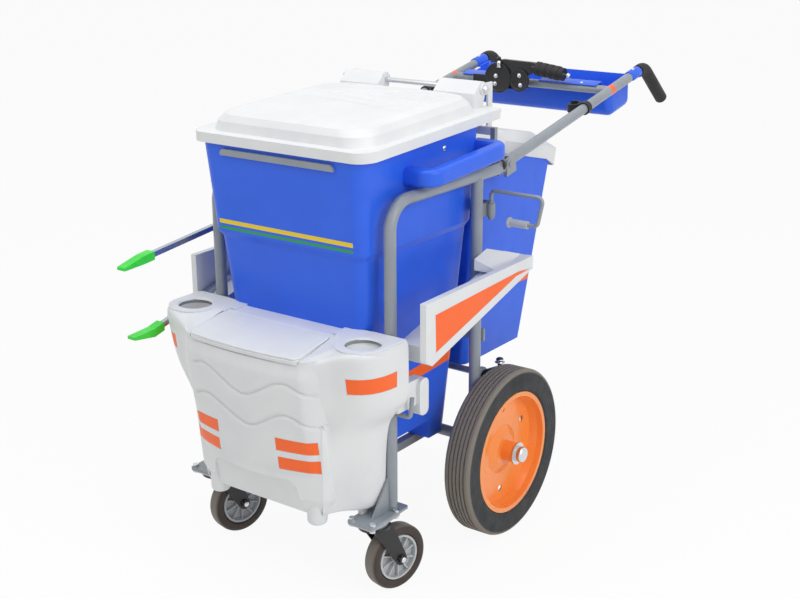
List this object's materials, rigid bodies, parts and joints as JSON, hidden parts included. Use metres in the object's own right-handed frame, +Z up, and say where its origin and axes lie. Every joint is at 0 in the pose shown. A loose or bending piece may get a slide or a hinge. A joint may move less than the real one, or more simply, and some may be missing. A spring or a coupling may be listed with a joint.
{
  "type": "outdoor cleaning cart",
  "caption": "Outdoor street cleaning cart with lidded bins, toolbox with cup holders, tool wings, litter tongs, braked rear wheels, swivel casters and a folding push handle with tray.",
  "frame": {"origin": "on the floor under the middle of the rear axle", "axes": "+Z up, +Y from the toolbox in front to the push handle at the rear, +X to the cart's right as seen from in front of the toolbox with +Z up"},
  "size_m": [0.7431, 1.5184, 1.068],
  "materials": {
    "painted_steel": "satin grey powder coat",
    "chrome_steel": "bright plated",
    "zinc_steel": "zinc plated",
    "blue_plastic": "satin moulded polyethylene",
    "white_plastic": "satin moulded polyethylene",
    "black_plastic": "satin moulded",
    "grey_plastic": "satin moulded",
    "green_plastic": "moulded",
    "black_steel": "satin black coat",
    "dark_steel": "dark grey coat",
    "orange_rim": "gloss orange coat",
    "tyre_rubber": "matt",
    "caster_rubber": "matt",
    "grip_rubber": "matt",
    "brake_rubber": "matt",
    "tongs_aluminium": "brushed"
  },
  "bodies": {
    "frame": {"side_hoop_left": "painted_steel", "side_hoop_right": "painted_steel", "fold_pins": "chrome_steel", "rear_leg_left": "painted_steel", "rear_leg_right": "painted_steel", "caster_plate_left": "zinc_steel", "caster_plate_right": "zinc_steel", "front_cross_tube": "painted_steel", "rear_cross_tube": "painted_steel", "cradle_bars": "painted_steel", "lid_posts": "white_plastic", "lid_hinge_bar": "white_plastic", "lid_hinge_rod": "chrome_steel", "rear_bin_bars": "painted_steel", "wing_left": "white_plastic", "wing_right": "white_plastic", "toolbox": "white_plastic", "main_bin": "blue_plastic", "lift_bar": "painted_steel", "rear_bin": "blue_plastic", "rear_bin_hooks": "zinc_steel", "tool_hooks": "painted_steel", "stub_axles": "chrome_steel", "axle_nuts": "chrome_steel", "caster_mounts": "black_steel", "caster_bolts": "chrome_steel"},
    "handle": {"handle_tube_left": "painted_steel", "handle_tube_right": "painted_steel", "crossbar": "dark_steel", "grips": "grip_rubber", "handle_tray": "blue_plastic", "tool_clips": "black_plastic", "saddles": "black_plastic", "brake_base": "black_steel"},
    "brake_lever": {"brake_lever": "black_steel", "lever_grip": "grip_rubber"},
    "release_button": {"lever_button": "chrome_steel"},
    "brake_yoke": {"brake_shaft": "dark_steel", "brake_arms": "black_steel", "brake_shoes": "brake_rubber"},
    "main_lid": {"main_lid": "white_plastic"},
    "rear_lid": {"rear_lid": "white_plastic"},
    "toolbox_lid": {"toolbox_lid": "white_plastic"},
    "wheel_left": {"wheel_rim_left": "orange_rim", "tyre_left": "tyre_rubber"},
    "wheel_right": {"wheel_rim_right": "orange_rim", "tyre_right": "tyre_rubber"},
    "caster_left": {"caster_fork_left": "black_steel"},
    "caster_right": {"caster_fork_right": "black_steel"},
    "caster_wheel_left": {"caster_core_left": "grey_plastic", "caster_tyre_left": "caster_rubber"},
    "caster_wheel_right": {"caster_core_right": "grey_plastic", "caster_tyre_right": "caster_rubber"},
    "swing_arm": {"swing_wire": "painted_steel", "swing_sleeve": "grey_plastic"},
    "tongs": {"tongs_lower_arm": "tongs_aluminium", "tongs_lower_jaw": "green_plastic"},
    "tongs_upper": {"tongs_upper_arm": "tongs_aluminium", "tongs_upper_jaw": "green_plastic"}
  },
  "joints": [
    {"name": "handle_fold", "type": "hinge", "parent": "frame", "child": "handle", "pos_m": [0, 0.066, 0.882], "axis": [1, 0, 0], "range_deg": [0, 60]},
    {"name": "brake_lever_pull", "type": "hinge", "parent": "handle", "child": "brake_lever", "pos_m": [-0.081, 0.5485, 0.98728], "axis": [0, -1, 0], "range_deg": [0, 45]},
    {"name": "release_button_push", "type": "slide", "parent": "brake_lever", "child": "release_button", "axis": [-0.9932, 0, 0.1162], "range_m": [0, 0.006], "stiffness_N_per_m": 400},
    {"name": "brake_yoke_turn", "type": "hinge", "parent": "frame", "child": "brake_yoke", "pos_m": [0, -0.018, 0.392], "axis": [-1, 0, 0], "range_deg": [0, 1.8]},
    {"name": "main_lid_hinge", "type": "hinge", "parent": "frame", "child": "main_lid", "pos_m": [0, 0.042, 1.051], "axis": [-1, 0, 0], "range_deg": [0, 95]},
    {"name": "rear_lid_hinge", "type": "hinge", "parent": "frame", "child": "rear_lid", "pos_m": [0, 0.08889, 0.9065], "axis": [1, 0, 0], "range_deg": [0, 45]},
    {"name": "toolbox_lid_hinge", "type": "hinge", "parent": "frame", "child": "toolbox_lid", "pos_m": [0, -0.45323, 0.58898], "axis": [-1, 0, 0], "range_deg": [0, 90]},
    {"name": "wheel_left_spin", "type": "hinge", "parent": "frame", "child": "wheel_left", "pos_m": [-0.291, 0, 0.203], "axis": [1, 0, 0], "continuous": true},
    {"name": "wheel_right_spin", "type": "hinge", "parent": "frame", "child": "wheel_right", "pos_m": [0.291, 0, 0.203], "axis": [1, 0, 0], "continuous": true},
    {"name": "caster_left_swivel", "type": "hinge", "parent": "frame", "child": "caster_left", "pos_m": [-0.233, -0.434, 0.15], "axis": [0, 0, 1], "continuous": true},
    {"name": "caster_right_swivel", "type": "hinge", "parent": "frame", "child": "caster_right", "pos_m": [0.233, -0.434, 0.15], "axis": [0, 0, 1], "continuous": true},
    {"name": "caster_left_spin", "type": "hinge", "parent": "caster_left", "child": "caster_wheel_left", "pos_m": [-0.21921, -0.37869, 0.075], "axis": [0.9703, -0.2419, 0], "continuous": true},
    {"name": "caster_right_spin", "type": "hinge", "parent": "caster_right", "child": "caster_wheel_right", "pos_m": [0.24679, -0.37869, 0.075], "axis": [0.9703, -0.2419, 0], "continuous": true},
    {"name": "swing_arm_turn", "type": "hinge", "parent": "frame", "child": "swing_arm", "pos_m": [0.254, -0.011, 0.8], "axis": [0, 0, 1], "range_deg": [0, 80]},
    {"name": "tongs_lift", "type": "slide", "parent": "frame", "child": "tongs", "axis": [0, 0, 1], "range_m": [0, 0.1]},
    {"name": "tongs_close", "type": "hinge", "parent": "tongs", "child": "tongs_upper", "pos_m": [-0.308, 0.447, 0.803], "axis": [1, 0, 0], "range_deg": [0, 8], "stiffness_Nm_per_rad": 20, "springref_deg": -8.59}
  ],
  "couplings": [
    {"joint": "brake_yoke_turn", "follows": "brake_lever_pull", "ratio": 0.04}
  ]
}
